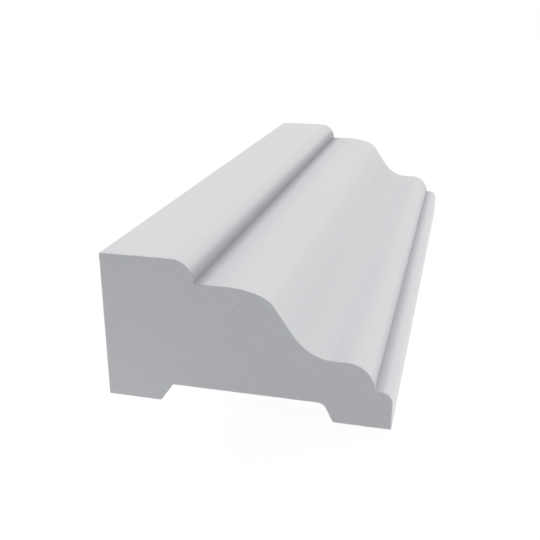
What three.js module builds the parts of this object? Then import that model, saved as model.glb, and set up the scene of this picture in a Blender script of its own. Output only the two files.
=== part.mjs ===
// A straight length of shingle moulding, one solid piece of white cellular PVC.
//
// On a house it is nailed along the sloping edge of a roof: the thick edge goes up under the overhanging shingles,
// the thin lip points down, and the back lies against the board behind. Here it lies on its back. +X runs across
// the piece from the thick edge to the thin lip, +Y runs along its length, and +Z is up, out of the moulded face.
// The origin is the middle of the underside. Sizes are in millimetres, distances across are measured from the
// thick edge, and heights are measured from the underside.

import * as THREE from "three";

const degrees = Math.PI / 180;

// Overall size of the piece as it was sawn off a longer length.
const width = 50.8;
const thickness = 27.0;
const length = 136.5;

// The cap is the flat band along the thick edge. It ends in a quarter round that drops to the first quirk, which is
// the sharp inner corner between two members of the profile.
const capWidth = 16.9;
const capRound = 3.9;

// The ogee starts as a level shelf, swells over, runs down a straight slope and sweeps out in a hollow.
// The swell and the hollow are parts of ellipses, given here by half their size across and half their height.
const ogeeHeight = 22.9;
const shelfEnd = 22.2;
const swellAcross = 8.7;
const swellHeight = 3.6;
const ogeeSlope = 55.5 * degrees;
const hollowAcross = 9.4;
const hollowHeight = 12.6;

// The nose is the level end of the hollow with a quarter round that drops all the way to the second quirk.
const noseHeight = 11.5;
const noseRound = 4.6;

// The lip is the narrow step outside the second quirk, with its outer corner rounded.
const lipWidth = 3.0;
const lipHeight = 6.9;
const lipRound = 2.0;

// The back is relieved between two flat feet, so that only the feet touch the board. The relief has a straight bevel
// on the side of the thick foot, and a steeper flank with a rounded corner on the side of the thin foot.
const thickFoot = 10.0;
const thinFoot = 9.9;
const reliefDepth = 3.4;
const bevelAcross = 2.4;
const flankAcross = 1.7;
const reliefRound = 1.65;

// Each curve is drawn with twice this number of straight facets, which stay within 0.01 mm of it.
const curveSegments = 10;

// The colour is the pale, slightly cool white of the moulding. Its skin is matt.
const mouldedWhite = new THREE.MeshStandardMaterial({
  color: 0xe4e5e7,
  roughness: 0.6,
  metalness: 0,
});

// Angle along an ellipse, counted from its end of level tangent, at which the curve has a given slope.
function angleAtSlope(slope, across, height) {
  return Math.atan((Math.tan(slope) * across) / height);
}

// From the foot of the thick edge up to the cap and over its quarter round to the first quirk.
function drawCap(outline) {
  outline.moveTo(0, 0);
  outline.lineTo(0, thickness);
  outline.absarc(capWidth - capRound, thickness - capRound, capRound, 90 * degrees, 0, true);
  outline.lineTo(capWidth, ogeeHeight);
}

// The shelf, the swell, the straight slope and the hollow. The slope is as long as the fall between the end of the
// swell and the start of the hollow needs, and that settles how far across the hollow ends.
function drawOgee(outline) {
  const swellAngle = angleAtSlope(ogeeSlope, swellAcross, swellHeight);
  const swellFoot = ogeeHeight - swellHeight * (1 - Math.cos(swellAngle));
  const hollowAngle = angleAtSlope(ogeeSlope, hollowAcross, hollowHeight);
  const hollowTop = noseHeight + hollowHeight * (1 - Math.cos(hollowAngle));
  const slopeAcross = (swellFoot - hollowTop) / Math.tan(ogeeSlope);
  const hollowStart = shelfEnd + swellAcross * Math.sin(swellAngle) + slopeAcross;
  const hollowEnd = hollowStart + hollowAcross * Math.sin(hollowAngle);
  outline.absellipse(
    shelfEnd,
    ogeeHeight - swellHeight,
    swellAcross,
    swellHeight,
    90 * degrees,
    90 * degrees - swellAngle,
    true,
  );
  outline.absellipse(
    hollowEnd,
    noseHeight + hollowHeight,
    hollowAcross,
    hollowHeight,
    270 * degrees - hollowAngle,
    270 * degrees,
    false,
  );
}

// The quarter round of the nose down to the second quirk, then the lip and its outer edge down to the underside.
function drawNoseAndLip(outline) {
  const noseEdge = width - lipWidth;
  outline.absarc(noseEdge - noseRound, noseHeight - noseRound, noseRound, 90 * degrees, 0, true);
  outline.absarc(width - lipRound, lipHeight - lipRound, lipRound, 90 * degrees, 0, true);
  outline.lineTo(width, 0);
}

// The thin foot, the relief and the thick foot, from the lip back to the thick edge.
function drawBack(outline) {
  const flankFoot = width - thinFoot;
  const flankSlope = Math.atan2(reliefDepth, flankAcross);
  const roundTangent = reliefRound * Math.tan(flankSlope / 2);
  const roundCentre = flankFoot - flankAcross - roundTangent;
  outline.lineTo(flankFoot, 0);
  outline.absarc(
    roundCentre,
    reliefDepth - reliefRound,
    reliefRound,
    90 * degrees - flankSlope,
    90 * degrees,
    false,
  );
  outline.lineTo(thickFoot + bevelAcross, reliefDepth);
  outline.lineTo(thickFoot, 0);
}

function mouldingProfile() {
  const outline = new THREE.Shape();
  drawCap(outline);
  drawOgee(outline);
  drawNoseAndLip(outline);
  drawBack(outline);
  return outline;
}

// The profile is drawn upright and carried along the length, with both ends sawn square.
function shingleMoulding() {
  const geometry = new THREE.ExtrudeGeometry(mouldingProfile(), {
    depth: length,
    bevelEnabled: false,
    curveSegments,
  });
  const moulding = new THREE.Mesh(geometry, mouldedWhite);
  moulding.name = "shingle_moulding";
  moulding.rotation.x = 90 * degrees;
  moulding.position.set(-width / 2, length / 2, 0);
  return moulding;
}

const part = new THREE.Group();
part.add(shingleMoulding());

export default part;
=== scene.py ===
"""Looks of a short length of shingle moulding in white cellular PVC, lying on its back in a light tent.

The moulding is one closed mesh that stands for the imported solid. Its profile is worked out from the sizes
below, carried along the length, and closed by two sawn ends with a finish of their own. All lengths are in
metres. Across means the distance from the thick edge, and height the distance from the underside.
"""

import logging
import math
from dataclasses import dataclass, field
from enum import Enum
from typing import Optional, Union

import bpy
import numpy as np
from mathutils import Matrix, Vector


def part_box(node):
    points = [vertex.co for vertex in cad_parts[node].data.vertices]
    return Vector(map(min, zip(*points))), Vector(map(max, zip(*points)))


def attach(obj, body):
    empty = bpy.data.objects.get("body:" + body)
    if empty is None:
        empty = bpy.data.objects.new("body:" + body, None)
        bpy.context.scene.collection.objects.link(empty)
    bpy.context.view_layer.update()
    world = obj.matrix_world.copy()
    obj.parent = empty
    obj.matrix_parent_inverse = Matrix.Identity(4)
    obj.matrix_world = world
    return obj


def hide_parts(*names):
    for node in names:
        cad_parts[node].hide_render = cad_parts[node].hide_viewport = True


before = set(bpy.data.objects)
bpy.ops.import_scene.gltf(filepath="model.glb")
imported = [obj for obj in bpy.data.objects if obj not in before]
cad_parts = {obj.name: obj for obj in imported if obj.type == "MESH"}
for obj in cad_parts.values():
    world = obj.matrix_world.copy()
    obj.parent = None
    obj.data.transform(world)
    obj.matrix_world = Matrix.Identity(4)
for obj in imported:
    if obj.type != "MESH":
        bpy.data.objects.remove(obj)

LOG = logging.getLogger("shingle_moulding")
MM = 0.001
NODE = "shingle_moulding"
BODY = "root"

Triple = tuple[float, float, float]
Pair = tuple[float, float]
Value = Union["Wire", float]


class Patch(Enum):
    """The surfaces of the moulding, numbered as the mesh's material slots."""

    SKIN = 0
    SAWN = 1


class Wire:
    """One output in a node graph. Arithmetic on it adds Math nodes."""

    def __init__(self, graph: "Graph", socket: Optional[bpy.types.NodeSocket]) -> None:
        """Keeps the output's socket and the graph that it belongs to."""
        self.graph = graph
        self.socket = socket

    def __add__(self, other: Value) -> "Wire":
        """Gives self + other."""
        return self.graph.math("ADD", self, other)

    def __radd__(self, other: Value) -> "Wire":
        """Gives other + self."""
        return self.graph.math("ADD", other, self)

    def __sub__(self, other: Value) -> "Wire":
        """Gives self - other."""
        return self.graph.math("SUBTRACT", self, other)

    def __rsub__(self, other: Value) -> "Wire":
        """Gives other - self."""
        return self.graph.math("SUBTRACT", other, self)

    def __mul__(self, other: Value) -> "Wire":
        """Gives self * other."""
        return self.graph.math("MULTIPLY", self, other)

    def __rmul__(self, other: Value) -> "Wire":
        """Gives other * self."""
        return self.graph.math("MULTIPLY", other, self)

    def rise(self, low: float, high: float) -> "Wire":
        """Gives a smooth step from 0 at low to 1 at high. Where low is the higher number, the step falls.

        Args:
            low: Value at which the step is still 0.
            high: Value from which it is 1.

        Returns:
            The step.
        """
        inputs = {"Value": self, "From Min": low, "From Max": high, "To Min": 0.0, "To Max": 1.0}
        if low > high:
            inputs.update({"From Min": high, "From Max": low, "To Min": 1.0, "To Max": 0.0})
        return self.graph.node("ShaderNodeMapRange", {"interpolation_type": "SMOOTHSTEP"}, inputs)


class Graph:
    """A node graph that is being written, of a material or of the world."""

    def __init__(self, tree: bpy.types.NodeTree) -> None:
        """Takes a tree and empties it."""
        self.tree = tree
        self.tree.nodes.clear()

    def node(
        self,
        kind: str,
        settings: dict[str, object],
        inputs: dict[Union[str, int], object],
        output: Union[str, int] = 0,
    ) -> Wire:
        """Adds a node, sets its settings, and then sets or links its inputs.

        Args:
            kind: Blender's type name of the node.
            settings: Values of the node's own properties, such as a Math node's operation.
            inputs: A Wire or a plain value for each input, by name or by number.
            output: Name or number of the output that is given back.

        Returns:
            The chosen output, which is empty for a node that has none.
        """
        made = self.tree.nodes.new(kind)
        for key, setting in settings.items():
            setattr(made, key, setting)
        for key, value in inputs.items():
            self.feed(made.inputs[key], value)
        return Wire(self, made.outputs[output] if made.outputs else None)

    def feed(self, socket: bpy.types.NodeSocket, value: object) -> None:
        """Links a Wire to an input, or sets the input to a plain value.

        Args:
            socket: The input.
            value: A Wire, a number or a tuple of numbers.
        """
        if isinstance(value, Wire):
            self.tree.links.new(value.socket, socket)
        else:
            socket.default_value = value

    def math(self, operation: str, left: Value, right: Value = 0.0) -> Wire:
        """Adds a Math node and gives its result."""
        return self.node("ShaderNodeMath", {"operation": operation}, {0: left, 1: right})

    def vector(self, operation: str, left: object, right: object, output: str = "Vector") -> Wire:
        """Adds a Vector Math node and gives its result."""
        return self.node("ShaderNodeVectorMath", {"operation": operation}, {0: left, 1: right}, output)

    def place(self) -> Wire:
        """Gives the place on the piece in metres."""
        return self.node("ShaderNodeTexCoord", {}, {}, "Object")

    def attribute(self, name: str) -> Wire:
        """Gives a number that the mesh carries at its vertices."""
        return self.node("ShaderNodeAttribute", {"attribute_name": name}, {}, "Fac")

    def noise(self, grain: Triple, detail: float = 2.0) -> Wire:
        """Gives smooth noise about 0, mostly between -0.25 and 0.25.

        Args:
            grain: Size of one lump along X, Y and Z, in metres.
            detail: Number of finer octaves added.

        Returns:
            The noise.
        """
        scaled = self.vector("DIVIDE", self.place(), grain)
        return self.node("ShaderNodeTexNoise", {}, {"Vector": scaled, "Scale": 1.0, "Detail": detail}) - 0.5

    def cells(self, size: float, full: float, empty: float) -> Wire:
        """Gives round spots, 1 in the middle and 0 outside, one in each cell of a random foam.

        Args:
            size: Mean size of a cell in metres.
            full: Distance from the middle, in cells, up to which a spot is full.
            empty: Distance from the middle, in cells, at which it has faded out.

        Returns:
            The spots.
        """
        inputs = {"Vector": self.place(), "Scale": 1.0 / size}
        return self.node("ShaderNodeTexVoronoi", {"feature": "F1"}, inputs, "Distance").rise(empty, full)

    def blend(self, share: Value, first: Union[Wire, Triple], second: Union[Wire, Triple]) -> Wire:
        """Mixes two colours.

        Args:
            share: 0 gives the first colour and 1 the second. Beyond them it counts as the nearer one.
            first: The first colour.
            second: The second colour.

        Returns:
            The mixed colour.
        """
        ends = [colour if isinstance(colour, Wire) else (*colour, 1.0) for colour in (first, second)]
        return self.node("ShaderNodeMix", {"data_type": "RGBA"}, {0: share, 6: ends[0], 7: ends[1]}, 2)

    def bump(self, height: Wire, depth: float) -> Wire:
        """Turns a height into a normal.

        Args:
            height: The height.
            depth: What a height of 1 is worth in metres.

        Returns:
            The normal.
        """
        return self.node("ShaderNodeBump", {}, {"Height": height, "Distance": depth, "Strength": 1.0})


class Finish(Graph):
    """The graph of one material, with a Principled BSDF that ends it."""

    def __init__(self, name: str, constants: dict[str, object]) -> None:
        """Makes the material with only its output and its Principled BSDF.

        Args:
            name: Name of the material.
            constants: Plain values of the BSDF's inputs.
        """
        self.material = bpy.data.materials.new(name)
        self.material.use_nodes = True
        super().__init__(self.material.node_tree)
        bsdf = self.node("ShaderNodeBsdfPrincipled", {}, constants)
        self.shader = bsdf.socket.node
        self.node("ShaderNodeOutputMaterial", {}, {"Surface": bsdf})

    def close(self, varying: dict[str, Wire]) -> bpy.types.Material:
        """Feeds the Principled BSDF with what changes over the surface, and gives the material."""
        for key, value in varying.items():
            self.feed(self.shader.inputs[key], value)
        return self.material


@dataclass(frozen=True)
class MouldedSkin:
    """The smooth matt skin: nearly even white, with faint draw lines along it and painted shade in the
    quirks and hollows.

    Each lump is the size of one lump of a noise. A pair that ends in edge holds the two values between which
    something fades in.
    """

    white: Triple = (0.757, 0.766, 0.785)
    # Dark end of the colour mix: painted shade where the face is sheltered, dust specks and random tone.
    shade_and_dust: Triple = (0.32, 0.328, 0.352)
    scuff: Triple = (0.83, 0.835, 0.84)
    mottle_lump: Triple = (24 * MM, 40 * MM, 24 * MM)
    streak_lump: Triple = (1.3 * MM, 160 * MM, 1.3 * MM)
    line_lump: Triple = (0.3 * MM, 30 * MM, 0.3 * MM)
    grain_lump: Triple = (0.16 * MM, 0.16 * MM, 0.16 * MM)
    patch_lump: Triple = (2.2 * MM, 5.0 * MM, 2.2 * MM)
    shade_patchiness: float = 0.25
    mottle: float = 0.06
    streak: float = 0.07
    fleck: float = 0.08
    speck_gap: float = 5.5 * MM
    speck_edge: Pair = (0.012, 0.03)
    speck_patch_edge: Pair = (0.02, 0.10)
    speck_strength: float = 0.30
    line_depth: float = 0.010 * MM
    grain_depth: float = 0.006 * MM
    rub_edge: Pair = (0.13, 0.21)
    rub_patch_edge: Pair = (-0.02, 0.10)
    rub: float = 0.5
    wear: float = 0.6
    roughness: float = 0.52
    roughness_spread: float = 0.22
    scuffed_roughness: float = 0.12

    def dress(self) -> bpy.types.Material:
        """Builds the material.

        Painted shade where the face is sheltered, darkest in the quirks, is made patchy by noise, and there
        are rare small specks of dust. Mottling is a wide noise, grain a fine one, and streaks and draw lines
        are noise drawn out along the length. Where a draw line is highest it is rubbed light, and scuffs
        whiten and dull the worn arrises.

        Returns:
            The material of the moulded skin.
        """
        graph = Finish("moulded_skin", {"IOR": 1.5})
        mottle = graph.noise(self.mottle_lump, 3.0)
        streak = graph.noise(self.streak_lump, 3.0)
        line = graph.noise(self.line_lump, 3.0)
        grain = graph.noise(self.grain_lump, 2.0)
        patch = graph.noise(self.patch_lump, 4.0)
        rubbed = line.rise(*self.rub_edge) * patch.rise(*self.rub_patch_edge) * self.rub
        worn = graph.attribute("worn") * (patch + self.wear) + rubbed
        specks = graph.cells(self.speck_gap, *self.speck_edge) * patch.rise(*self.speck_patch_edge)
        # Painted shade: darker where the face is sheltered and in the quirks, made patchy by noise.
        shade_and_dust = graph.attribute("painted_shade") * (1.0 + patch * self.shade_patchiness)
        tint = mottle * self.mottle + streak * self.streak + grain * self.fleck
        share = shade_and_dust + specks * self.speck_strength + tint
        whites = graph.blend(worn, self.white, self.scuff)
        spread = (streak + grain) * self.roughness_spread
        height = line * (self.line_depth / self.grain_depth) + grain
        varying = {
            "Base Color": graph.blend(share, whites, self.shade_and_dust),
            "Roughness": spread + worn * self.scuffed_roughness + self.roughness,
            "Normal": graph.bump(height, self.grain_depth),
        }
        return graph.close(varying)


@dataclass(frozen=True)
class SawnFace:
    """A sawn end: small cells cut open in the core, a denser rim under the skin, and marks of the blade.

    A cell's edge is where it is full and where it has faded out, as shares of its size.
    """

    # Darker and cooler than the skin: partly the cut foam's own tone, partly painted shade of the end.
    white: Triple = (0.611, 0.626, 0.658)
    shade: Triple = (0.42, 0.425, 0.44)
    fine_cell: float = 0.16 * MM
    fine_edge: Pair = (0.15, 0.45)
    wide_cell: float = 0.42 * MM
    wide_edge: Pair = (0.08, 0.30)
    cell_strength: float = 0.42
    cell_depth: float = 0.035 * MM
    rim_edge: Pair = (0.2 * MM, 1.0 * MM)
    rim_pits: float = 0.25
    blade_centre: Triple = (-92 * MM, 0.0, -96 * MM)
    blade_pitch: float = 1.35 * MM
    blade_bend: float = 5.0
    blade_fade: float = 0.5
    blade_depth: float = 0.035 * MM
    blade_tone: float = 0.09
    mottle_lump: Triple = (5 * MM, 5 * MM, 5 * MM)
    mottle: float = 0.10
    roughness: float = 0.74
    pit_roughness: float = 0.1
    mottle_roughness: float = 0.15

    def dress(self) -> bpy.types.Material:
        """Builds the material.

        The marks are a sine of the distance from the blade's centre, bent and faded in places by noise.
        Cells of two sizes grow fainter towards the rim, where the foam is dense.

        Returns:
            The material of the sawn ends.
        """
        graph = Finish("sawn_face", {"IOR": 1.5})
        core = graph.attribute("depth").rise(*self.rim_edge)
        mottle = graph.noise(self.mottle_lump, 4.0)
        fine = graph.cells(self.fine_cell, *self.fine_edge)
        wide = graph.cells(self.wide_cell, *self.wide_edge)
        pits = (fine * 0.5 + wide * 0.5) * (core * (1.0 - self.rim_pits) + self.rim_pits)
        flat = graph.vector("MULTIPLY", graph.place(), (1.0, 0.0, 1.0))
        away = graph.vector("DISTANCE", flat, self.blade_centre, "Value")
        turns = away * (2 * math.pi / self.blade_pitch) + mottle * self.blade_bend
        marks = graph.math("SINE", turns) * (mottle + self.blade_fade)
        share = pits * self.cell_strength + mottle * self.mottle + marks * self.blade_tone
        height = marks * (0.5 * self.blade_depth / self.cell_depth) - pits
        varying = {
            "Base Color": graph.blend(share, self.white, self.shade),
            "Roughness": pits * self.pit_roughness + mottle * self.mottle_roughness + self.roughness,
            "Normal": graph.bump(height, self.cell_depth),
        }
        return graph.close(varying)


def ellipse_arc(centre: Pair, axes: Pair, turn: Pair, steps: int) -> np.ndarray:
    """Gives points of an ellipse: centre + (a cos t, b sin t), with t in even steps.

    Args:
        centre: Middle of the ellipse, across and height.
        axes: Half sizes a and b.
        turn: First and last angle t in degrees.
        steps: Number of steps between them.

    Returns:
        The points, one row each.
    """
    angle = np.radians(np.linspace(*turn, steps + 1))
    return np.stack([centre[0] + axes[0] * np.cos(angle), centre[1] + axes[1] * np.sin(angle)], 1)


def eased_corner(
    before: np.ndarray,
    corner: np.ndarray,
    after: np.ndarray,
    radius: float,
    steps: int,
) -> np.ndarray:
    """Rounds the corner between two straight lines with an arc that touches both.

    The arc starts before the corner by the radius times the tangent of half the turn. Its points are the
    first one, turned about the centre in even steps.

    Args:
        before: A point on the first line.
        corner: Where the lines meet.
        after: A point on the second line.
        radius: Radius of the arc.
        steps: Number of steps in the arc.

    Returns:
        The points of the arc, one row each.
    """
    first = (corner - before) / np.linalg.norm(corner - before)
    second = (after - corner) / np.linalg.norm(after - corner)
    turn = math.atan2(first[0] * second[1] - first[1] * second[0], first @ second)
    start = corner - first * radius * math.tan(abs(turn) / 2)
    centre = start + math.copysign(radius, turn) * np.array([-first[1], first[0]])
    angle = np.linspace(0.0, turn, steps + 1)[:, None]
    spoke = start - centre
    return centre + spoke * np.cos(angle) + np.array([-spoke[1], spoke[0]]) * np.sin(angle)


def ramp_down(distance: np.ndarray, reach: float) -> np.ndarray:
    """Gives 1 at no distance, falling straight to 0 at reach."""
    return np.clip(1.0 - distance / reach, 0.0, 1.0)


def sheltered_share(points: np.ndarray, normals: np.ndarray, reach: float) -> np.ndarray:
    """Gives how much of the half circle over each point of a chain the chain itself closes off, from 0 to 1.

    On either side the view opens above the highest of the points within reach, and at most a quarter turn
    from the normal. With angles from upright, the open part is (sin(right - lean) - sin(left - lean)) / 2,
    where lean is the angle of the normal.

    Args:
        points: Points of the chain from left to right, one row each.
        normals: Unit normal at each point.
        reach: Distance beyond which the chain closes nothing off.

    Returns:
        One share for each point.
    """
    apart = points[None] - points[:, None]
    near = np.hypot(apart[..., 0], apart[..., 1]) < reach
    order = np.arange(len(points))
    turn = np.arctan2(apart[..., 0], apart[..., 1])
    lean = np.arctan2(normals[:, 0], normals[:, 1])
    quarter = np.pi / 2
    right = np.where(near & (order[None] > order[:, None]), turn, np.inf).min(1)
    left = np.where(near & (order[None] < order[:, None]), turn, -np.inf).max(1)
    right = np.minimum(right, lean + quarter)
    left = np.maximum(left, lean - quarter)
    return 1.0 - (np.sin(right - lean) - np.sin(left - lean)) / 2


@dataclass
class Profile:
    """The outline of the cross-section, as an upper and a lower chain that run from thick edge to lip.

    The swell and the hollow are given by half their size across and half their height. quirk_lean is how far
    the drop to the first quirk leans out, so that every point of a chain has its own distance across.
    """

    width: float
    thickness: float
    cap_width: float = 16.9 * MM
    cap_round: float = 3.9 * MM
    quirk_lean: float = 0.02 * MM
    ogee_height: float = 22.9 * MM
    shelf_end: float = 22.2 * MM
    swell: Pair = (8.7 * MM, 3.6 * MM)
    hollow: Pair = (9.4 * MM, 12.6 * MM)
    ogee_slope: float = 55.5
    nose_height: float = 11.5 * MM
    nose_round: float = 4.6 * MM
    lip_width: float = 3.0 * MM
    lip_round: float = 2.0 * MM
    thick_foot: float = 10.0 * MM
    thin_foot: float = 9.9 * MM
    relief_depth: float = 3.4 * MM
    bevel_across: float = 2.4 * MM
    flank_across: float = 1.7 * MM
    relief_round: float = 1.65 * MM
    arris: float = 0.25 * MM
    worn_reach: float = 0.35 * MM
    column_gap: float = 0.55 * MM
    column_grid: float = 0.004 * MM
    curve_steps: int = 24
    arris_steps: int = 12

    @property
    def lip_height(self) -> float:
        """Height of the lip, which the nose's quarter round comes down to."""
        return self.nose_height - self.nose_round

    def corners(self) -> np.ndarray:
        """Gives the sharp corners of the back, from the thick edge's upper end round to the lip."""
        flank_foot = self.width - self.thin_foot
        points = [
            (0.0, self.thickness),
            (0.0, 0.0),
            (self.thick_foot, 0.0),
            (self.thick_foot + self.bevel_across, self.relief_depth),
            (flank_foot - self.flank_across, self.relief_depth),
            (flank_foot, 0.0),
            (self.width, 0.0),
            (self.width, self.lip_height),
        ]
        return np.array(points)

    def ogee(self) -> np.ndarray:
        """Gives the ogee: a part of one ellipse, a straight slope and a part of another ellipse.

        The angle t where an ellipse is as steep as the slope is atan(tan(slope) a / b). The slope is as long
        as the fall that is left between the two ellipses needs.

        Returns:
            The points, one row each.
        """
        steepness = math.tan(math.radians(self.ogee_slope))
        swell_turn = math.degrees(math.atan(steepness * self.swell[0] / self.swell[1]))
        hollow_turn = math.degrees(math.atan(steepness * self.hollow[0] / self.hollow[1]))
        swell_centre = (self.shelf_end, self.ogee_height - self.swell[1])
        swell = ellipse_arc(swell_centre, self.swell, (90, 90 - swell_turn), self.curve_steps)
        hollow_centre = (0.0, self.nose_height + self.hollow[1])
        hollow = ellipse_arc(hollow_centre, self.hollow, (270 - hollow_turn, 270), self.curve_steps)
        hollow[:, 0] += swell[-1, 0] + (swell[-1, 1] - hollow[0, 1]) / steepness - hollow[0, 0]
        return np.vstack([swell, hollow])

    def quarter_round(self, right: float, top: float, radius: float) -> np.ndarray:
        """Gives a quarter circle that runs from level at its top to upright at its right."""
        return ellipse_arc((right - radius, top - radius), (radius, radius), (90, 0), self.curve_steps)

    def upper(self) -> np.ndarray:
        """Gives the moulded face: eased arris, cap, quirk, ogee, nose, quirk and lip, one point a row."""
        thick_foot, thick_top = self.corners()[[1, 0]]
        along_cap = thick_top + np.array([self.width, 0.0])
        parts = [
            eased_corner(thick_foot, thick_top, along_cap, self.arris, self.arris_steps),
            self.quarter_round(self.cap_width, self.thickness, self.cap_round),
            self.quirks()[:1],
            self.ogee(),
            self.quarter_round(self.width - self.lip_width, self.nose_height, self.nose_round),
            self.quarter_round(self.width, self.lip_height, self.lip_round),
        ]
        return np.vstack(parts)

    def lower(self) -> np.ndarray:
        """Gives the back: thick foot, bevel, relief, flank with its rounded corner, and thin foot."""
        points = self.corners()
        radii = [self.arris] * 6
        radii[3] = self.relief_round
        arcs = [
            eased_corner(*points[i : i + 3], radius, self.arris_steps)
            for i, radius in enumerate(radii)
        ]
        return np.vstack(arcs)

    def quirks(self) -> np.ndarray:
        """Gives the two sharp inner corners of the moulded face, one row each."""
        cap_quirk = (self.cap_width + self.quirk_lean, self.ogee_height)
        return np.array([cap_quirk, (self.width - self.lip_width, self.lip_height)])

    def chains(self) -> tuple[np.ndarray, np.ndarray]:
        """Puts points on both chains at the same distances across, so that columns join them.

        The distances are those of the corners of both chains and some even ones, all put on a very fine grid
        so that no two columns nearly meet.

        Returns:
            The points of the upper and of the lower chain, one row each.
        """
        upper, lower = self.upper(), self.lower()
        even = np.arange(self.column_gap, self.width, self.column_gap)
        across = np.concatenate([upper[:, 0], lower[:, 0], even]).clip(0.0, self.width)
        across = np.unique(np.round(across / self.column_grid)) * self.column_grid
        chains = [np.stack([across, np.interp(across, *chain.T)], 1) for chain in (upper, lower)]
        return chains[0], chains[1]

    def worn(self, points: np.ndarray) -> np.ndarray:
        """Gives 1 on the outer arrises, falling straight to 0 a short way from them.

        Args:
            points: Points of the outline, one row each.

        Returns:
            The amount at each point.
        """
        outer = self.corners()[[0, 1, 2, 5, 6]]
        away = np.linalg.norm(points[:, None] - outer[None], axis=2).min(1)
        return ramp_down(away, self.worn_reach)


@dataclass
class Moulding:
    """The whole moulding: the swept skin and the two sawn ends, as one closed mesh.

    The painted shade in the skin's colour has an amount for the first and for the second quirk, and a
    distance up to which it is full in a quirk and one at which it is gone.
    """

    low: Vector
    high: Vector
    rows: int = 90
    facing_reach: float = 0.04 * MM
    end_arris: float = 0.14 * MM
    end_arris_steps: int = 3
    unevenness: float = 0.55
    uneven_pitch: float = 1.4 * MM
    seed: int = 11
    end_rings: int = 8
    end_reach: float = 6.0 * MM
    middle_rings: int = 13
    # The next six sizes set the painted shade: darker where the face is sheltered, darker still in each
    # quirk.
    shelter_reach: float = 18.0 * MM
    shelter_shade_gain: float = 1.2
    shelter_shade_limit: float = 0.30
    quirk_shade: Pair = (0.35, 0.09)
    quirk_shade_lift: float = 0.8 * MM
    quirk_shade_edge: Pair = (1.0 * MM, 2.5 * MM)
    sharp_angle: float = 35.0
    distance_parts: int = 16
    skin: MouldedSkin = field(default_factory=MouldedSkin)
    sawn: SawnFace = field(default_factory=SawnFace)

    def __post_init__(self) -> None:
        """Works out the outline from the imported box."""
        size = self.high - self.low
        self.length = size.y
        self.profile = Profile(width=size.x, thickness=size.z)
        self.top, self.bottom = self.profile.chains()
        self.loop = self.outline()
        self.normals = self.outward()

    def outline(self) -> np.ndarray:
        """Joins the two chains clockwise, with even rows of points on both upright edges.

        Returns:
            Points of the outline, one row each, starting at the upper end of the thick edge.
        """
        share = np.linspace(0.0, 1.0, self.rows + 1)[1:-1, None]
        lip_edge = self.top[-1] + (self.bottom[-1] - self.top[-1]) * share
        thick_edge = self.bottom[0] + (self.top[0] - self.bottom[0]) * share
        return np.vstack([self.top, lip_edge, self.bottom[::-1], thick_edge])

    def outward(self) -> np.ndarray:
        """Gives the outward unit normal at each point of the outline.

        It is the mean normal of the stretch of outline within a short reach to either side. Each straight
        piece counts by the length of it that lies in that stretch.

        Returns:
            The normals, one row each.
        """
        ahead = np.roll(self.loop, -1, 0) - self.loop
        size = np.linalg.norm(ahead, axis=1)
        start, total = np.cumsum(size) - size, size.sum()
        offset = (start[None] - start[:, None] + total / 2) % total - total / 2
        ends = np.minimum(offset + size, self.facing_reach), np.maximum(offset, -self.facing_reach)
        mean = np.clip(ends[0] - ends[1], 0.0, None) @ (ahead / size[:, None])
        mean /= np.linalg.norm(mean, axis=1)[:, None]
        return np.stack([-mean[:, 1], mean[:, 0]], 1)

    def easing(self) -> np.ndarray:
        """Gives how much of the full easing, left uneven by handling, the ends have along the outline.

        Along both chains it runs straight between seeded random shares a fixed pitch apart, and along the
        upright edges it runs straight from one chain to the other.

        Returns:
            A share for each point of the outline, from 1 - unevenness to 1.
        """
        knots = np.linspace(0.0, self.profile.width, round(self.profile.width / self.uneven_pitch) + 1)
        shares = 1.0 - np.random.default_rng(self.seed).random((2, len(knots))) * self.unevenness
        top, bottom = (np.interp(self.top[:, 0], knots, row) for row in shares)
        lip_edge = np.linspace(top[-1], bottom[-1], self.rows + 1)[1:-1]
        thick_edge = np.linspace(bottom[0], top[0], self.rows + 1)[1:-1]
        return np.concatenate([top, lip_edge, bottom[::-1], thick_edge])

    def rings(self) -> tuple[np.ndarray, np.ndarray]:
        """Gives the places along the length where the outline is repeated, and how far it is drawn in there.

        A ring of the eased end at angle t lies a (1 - cos t) from the sawn face and is drawn in by
        a (1 - sin t). After that the rings spread out with the square of their number.

        Returns:
            Distances along the moulding from its front end, and the amounts drawn in.
        """
        turn = np.radians(np.linspace(0.0, 90.0, self.end_arris_steps + 1))
        eased = self.end_arris * (1.0 - np.cos(turn))
        spread = np.linspace(0.0, 1.0, self.end_rings + 1)[1:] ** 2
        start = np.concatenate([eased, eased[-1] + (self.end_reach - eased[-1]) * spread])
        middle = np.linspace(self.end_reach, self.length - self.end_reach, self.middle_rings + 2)[1:-1]
        along = np.concatenate([start, middle, self.length - start[::-1]])
        inset = np.zeros_like(along)
        inset[: len(turn)] = self.end_arris * (1.0 - np.sin(turn))
        inset[-len(turn) :] = inset[: len(turn)][::-1]
        return along, inset

    def in_space(self, flat: np.ndarray, along: Union[float, np.ndarray]) -> np.ndarray:
        """Puts points of the cross-section at places along the length, in the row frame.

        Args:
            flat: Points as across and height, one row each.
            along: Distance from the front end, one for all or one for each.

        Returns:
            The points in space, one row each.
        """
        filled = np.broadcast_to(along, len(flat))
        return np.stack([flat[:, 0] + self.low.x, filled + self.low.y, flat[:, 1] + self.low.z], 1)

    def painted_shade(self) -> np.ndarray:
        """Gives the painted shade at each point of the outline, which is none on the back.

        It is a darkening that grows with the sheltered share up to a limit, and a darker patch in each
        quirk.
        The patch is full within one distance of its heart, a little above the quirk, and gone beyond
        another.
        Between them it falls by the smooth step t t (3 - 2 t).

        Returns:
            The amounts, from 0 to 1.
        """
        count = len(self.top)
        share = sheltered_share(self.top, self.normals[:count], self.shelter_reach)
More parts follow.
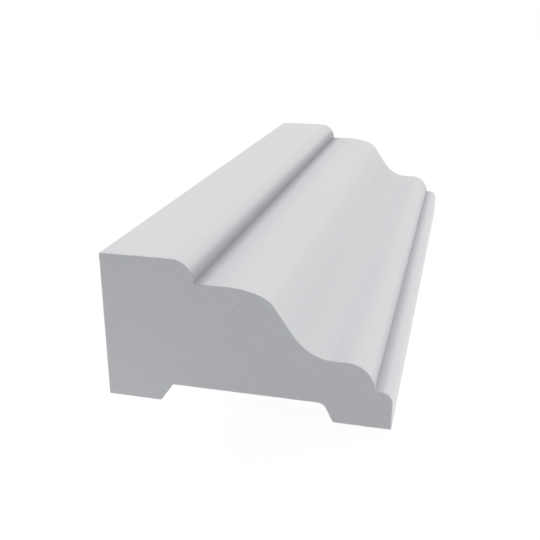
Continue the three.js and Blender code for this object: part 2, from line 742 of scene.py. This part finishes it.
        # Painted shade: the more of the sky the chain closes off, the darker, up to a limit.
        shelter_shade = np.minimum(share, self.shelter_shade_limit) * self.shelter_shade_gain
        # A darker patch of painted shade in each quirk, full near its heart.
        hearts = self.profile.quirks() + [0.0, self.quirk_shade_lift]
        away = np.linalg.norm(self.top[:, None] - hearts[None], axis=2)
        full, gone = self.quirk_shade_edge
        step = np.clip((gone - away) / (gone - full), 0.0, 1.0)
        amounts = np.zeros(len(self.loop))
        amounts[:count] = shelter_shade + (step**2 * (3.0 - 2.0 * step)) @ np.array(self.quirk_shade)
        return amounts

    def skin_grid(self) -> tuple[np.ndarray, np.ndarray, np.ndarray, np.ndarray]:
        """Sweeps the outline along the length, where point (ring, step) is drawn in along its normal.

        Returns:
            The vertices, the faces as vertex numbers, and the amounts of painted shade and of wear at each
            vertex.
        """
        along, inset = self.rings()
        steps = len(self.loop)
        drawn = inset[:, None] * self.easing()[None]
        flat = self.loop[None] - self.normals[None] * drawn[..., None]
        verts = self.in_space(flat.reshape(-1, 2), np.repeat(along, steps))
        ring, step = np.meshgrid(np.arange(len(along) - 1), np.arange(steps), indexing="ij")
        here = ring * steps + step
        beside = ring * steps + (step + 1) % steps
        faces = np.stack([here, beside, beside + steps, here + steps], -1).reshape(-1, 4)
        from_end = np.minimum(along, self.length - along)
        end_worn = ramp_down(np.maximum(from_end - self.end_arris, 0.0), self.profile.worn_reach)
        worn = np.maximum(end_worn[:, None], self.profile.worn(self.loop)[None])
        return verts, faces, np.tile(self.painted_shade(), len(along)), worn.ravel()

    def end_grid(self, ring: np.ndarray) -> tuple[np.ndarray, np.ndarray, np.ndarray]:
        """Fills a sawn end with columns: point (column, row) is bottom + (top - bottom) row / rows.

        Args:
            ring: The outline of that end after it is drawn in.

        Returns:
            The inner points, their distance to the outline, and the faces as numbers, facing the front end.
            A number below the outline's length is a point of the outline, and the rest are the inner points.
        """
        count, rows = len(self.top), self.rows
        lip_start, bottom_start, thick_start = count, count + rows - 1, 2 * count + rows - 1
        bottom = ring[bottom_start:thick_start][::-1]
        share = np.linspace(0.0, 1.0, rows + 1)[None, 1:-1, None]
        inner = (bottom[1:-1, None] + (ring[1 : count - 1] - bottom[1:-1])[:, None] * share).reshape(-1, 2)
        depth = np.full(len(inner), np.inf)
        for part in np.array_split(ring, self.distance_parts):
            depth = np.minimum(depth, np.linalg.norm(inner[:, None] - part[None], axis=2).min(1))
        number = np.empty((count, rows + 1), np.int64)
        number[:, -1] = np.arange(count)
        number[:, 0] = np.arange(bottom_start, thick_start)[::-1]
        number[-1, 1:-1] = np.arange(lip_start, bottom_start)[::-1]
        number[0, 1:-1] = np.arange(thick_start, thick_start + rows - 1)
        number[1:-1, 1:-1] = len(ring) + np.arange(len(inner)).reshape(count - 2, rows - 1)
        corners = [number[:-1, :-1], number[1:, :-1], number[1:, 1:], number[:-1, 1:]]
        return inner, depth, np.stack(corners, -1).reshape(-1, 4)

    def build(self) -> bpy.types.Object:
        """Joins the skin and both ends into one closed mesh with its finishes and attributes.

        Returns:
            The finished piece, at the origin.
        """
        verts, skin_faces, painted_shade, worn = self.skin_grid()
        steps = len(self.loop)
        inner, depth, end_faces = self.end_grid(verts[:steps, [0, 2]] - [self.low.x, self.low.z])
        points = np.vstack([verts, self.in_space(inner, 0.0), self.in_space(inner, self.length)])
        front = np.where(end_faces < steps, end_faces, end_faces - steps + len(verts))
        back_start = len(verts) + len(inner) - steps
        back = np.where(end_faces < steps, end_faces + len(verts) - steps, end_faces + back_start)[:, ::-1]
        faces = np.vstack([skin_faces, front, back])
        patches = np.repeat([Patch.SKIN.value, Patch.SAWN.value], [len(skin_faces), 2 * len(front)])
        mesh = bpy.data.meshes.new("moulding_body")
        mesh.from_pydata(points.tolist(), [], faces.tolist())
        mesh.polygons.foreach_set("material_index", patches.astype(np.int32))
        ends = np.zeros(2 * len(inner))
        # Painted shade for the skin's colour, stored at the vertices.
        self.attach(mesh, "painted_shade", np.concatenate([painted_shade, ends]))
        self.attach(mesh, "worn", np.concatenate([worn, ends]))
        self.attach(mesh, "depth", np.concatenate([np.zeros(len(verts)), depth, depth]))
        mesh.materials.append(self.skin.dress())
        mesh.materials.append(self.sawn.dress())
        mesh.shade_smooth()
        mesh.set_sharp_from_angle(angle=math.radians(self.sharp_angle))
        mesh.update()
        piece = bpy.data.objects.new("moulding_body", mesh)
        bpy.context.scene.collection.objects.link(piece)
        return piece

    @staticmethod
    def attach(mesh: bpy.types.Mesh, name: str, values: np.ndarray) -> None:
        """Stores one number for each vertex under a name."""
        mesh.attributes.new(name, "FLOAT", "POINT").data.foreach_set("value", values.astype(np.float32))


@dataclass
class LightTent:
    """A pale glowing floor, a white wall round it, and soft light from all sides but the front.

    The floor's pool of extra glow has its heart before the thick foot's near end.
    """

    floor_radius: float = 0.9
    floor_colour: Triple = (0.16, 0.16, 0.16)
    floor_glow: float = 0.87
    side_edge: Pair = (0.0, 0.08)
    side_glow: float = 0.06
    pool_heart: Triple = (-0.040, -0.078, 0.0)
    pool_edge: Pair = (0.045, 0.0)
    pool_glow: float = 0.28
    wall_height: float = 1.6
    wall_flare: float = 0.8
    sky: float = 1.22
    zenith: float = 0.15
    lean: float = 0.03
    mouth_lift: float = 0.50
    mouth: Pair = (-0.34, -0.03)
    mouth_glow: float = 0.03
    turns: int = 96
    climbs: int = 12

    def show(
        self,
        name: str,
        verts: np.ndarray,
        faces: list[list[int]],
        material: bpy.types.Material,
    ) -> bpy.types.Object:
        """Makes one object of the stage.

        Args:
            name: Name of the object.
            verts: Its vertices, one row each.
            faces: Its faces as vertex numbers.
            material: Its material.

        Returns:
            The object.
        """
        mesh = bpy.data.meshes.new(name)
        mesh.from_pydata(verts.tolist(), [], faces)
        mesh.materials.append(material)
        made = bpy.data.objects.new(name, mesh)
        bpy.context.scene.collection.objects.link(made)
        return made

    def floor(self) -> bpy.types.Object:
        """Makes the round floor, which glows more on the lip's side and by the thick foot's near end.

        Its glow is the sum of an even one, the side's and the pool's, and at most 1.

        Returns:
            The floor.
        """
        angle = np.linspace(0.0, 2 * np.pi, self.turns + 1)[:-1]
        rim = np.stack([np.cos(angle), np.sin(angle), np.zeros(self.turns)], 1) * self.floor_radius
        constants = {
            "Base Color": (*self.floor_colour, 1.0),
            "Specular IOR Level": 0.0,
            "Emission Strength": 1.0,
        }
        graph = Finish("pale_floor", constants)
        across = graph.node("ShaderNodeSeparateXYZ", {}, {0: graph.place()}, "X")
        away = graph.vector("DISTANCE", graph.place(), self.pool_heart, "Value")
        side = across.rise(*self.side_edge) * self.side_glow
        level = side + away.rise(*self.pool_edge) * self.pool_glow + self.floor_glow
        glow = graph.blend(level, (0.0, 0.0, 0.0), (1.0, 1.0, 1.0))
        return self.show("floor", rim, [list(range(self.turns))], graph.close({"Emission Color": glow}))

    def wall(self) -> bpy.types.Object:
        """Makes the white wall round the floor, which shows but throws no light or shadow.

        Point (turn, climb) lies on a circle of radius + flare (1 - cos climb), at height sin climb.

        Returns:
            The wall.
        """
        turn = np.linspace(0.0, 2 * np.pi, self.turns + 1)[:-1, None]
        climb = np.linspace(0.0, np.pi / 2, self.climbs + 1)[None]
        radius = self.floor_radius + self.wall_flare * (1 - np.cos(climb))
        height = self.wall_height * np.sin(climb) + np.zeros_like(turn)
        verts = np.stack([np.cos(turn) * radius, np.sin(turn) * radius, height], -1).reshape(-1, 3)
        row, step = np.meshgrid(np.arange(self.turns), np.arange(self.climbs), indexing="ij")
        here = row * (self.climbs + 1) + step
        beside = (row + 1) % self.turns * (self.climbs + 1) + step
        faces = np.stack([here, here + 1, beside + 1, beside], -1).reshape(-1, 4).tolist()
        constants = {
            "Base Color": (0.0, 0.0, 0.0, 1.0),
            "Specular IOR Level": 0.0,
            "Emission Color": (1.0, 1.0, 1.0, 1.0),
            "Emission Strength": 1.0,
        }
        wall = self.show("wall", verts, faces, Finish("white_wall", constants).material)
        for way in ("diffuse", "glossy", "transmission", "shadow"):
            setattr(wall, "visible_" + way, False)
        return wall

    def light(self) -> None:
        """Lights the tent from its cloth, all round and above, except for its mouth on the camera's side.

        The light in direction (x, y, z) is sky (1 + zenith z) (1 - lean x), and falls away where y + lift z
        goes below the mouth's two limits.
        """
        world = bpy.data.worlds.new("light_tent")
        world.use_nodes = True
        graph = Graph(world.node_tree)
        direction = graph.node("ShaderNodeTexCoord", {}, {}, "Generated")
        x, y, z = (graph.node("ShaderNodeSeparateXYZ", {}, {0: direction}, axis) for axis in "XYZ")
        cloth = (1.0 + z * self.zenith) * (1.0 - x * self.lean) * self.sky
        closed = (y + z * self.mouth_lift).rise(*self.mouth)
        strength = cloth * (closed * (1.0 - self.mouth_glow) + self.mouth_glow)
        light = graph.node("ShaderNodeBackground", {}, {"Strength": strength})
        graph.node("ShaderNodeOutputWorld", {}, {"Surface": light})
        bpy.context.scene.world = world

    def build(self) -> None:
        """Makes the floor, the wall and the light, and sets plain colour handling."""
        self.floor()
        self.wall()
        self.light()
        bpy.context.scene.view_settings.view_transform = "Standard"
        bpy.context.scene.view_settings.look = "None"


@dataclass
class PhotoCamera:
    """The camera in the photograph's place, looking down at the near end from the lip's side."""

    place: Triple = (33.34 * MM, -181.70 * MM, 69.48 * MM)
    azimuth: float = 14.2185
    elevation: float = 20.1526
    lens: float = 51.695
    sensor: float = 36.0
    nearest: float = 10 * MM

    def build(self) -> None:
        """Makes the camera and puts it to use. It looks along (-sin a cos e, cos a cos e, -sin e)."""
        data = bpy.data.cameras.new("photo_camera")
        data.lens = self.lens
        data.sensor_width = self.sensor
        data.clip_start = self.nearest
        camera = bpy.data.objects.new("photo_camera", data)
        turn, tilt = math.radians(self.azimuth), math.radians(self.elevation)
        level = math.cos(tilt)
        ahead = Vector((-math.sin(turn) * level, math.cos(turn) * level, -math.sin(tilt)))
        camera.location = self.place
        camera.rotation_euler = ahead.to_track_quat("-Z", "Y").to_euler()
        bpy.context.scene.collection.objects.link(camera)
        bpy.context.scene.camera = camera


def main() -> None:
    """Builds the tent, the camera and the moulding in order."""
    logging.basicConfig(level=logging.INFO, format="%(name)s: %(message)s")
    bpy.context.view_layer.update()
    LightTent().build()
    LOG.info("light tent: floor, wall and light")
    PhotoCamera().build()
    LOG.info("photo camera")
    piece = Moulding(*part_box(NODE)).build()
    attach(piece, BODY)
    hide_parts(NODE)
    LOG.info("%s: %d vertices, %d faces", piece.name, len(piece.data.vertices), len(piece.data.polygons))


if __name__ == "__main__":
    main()
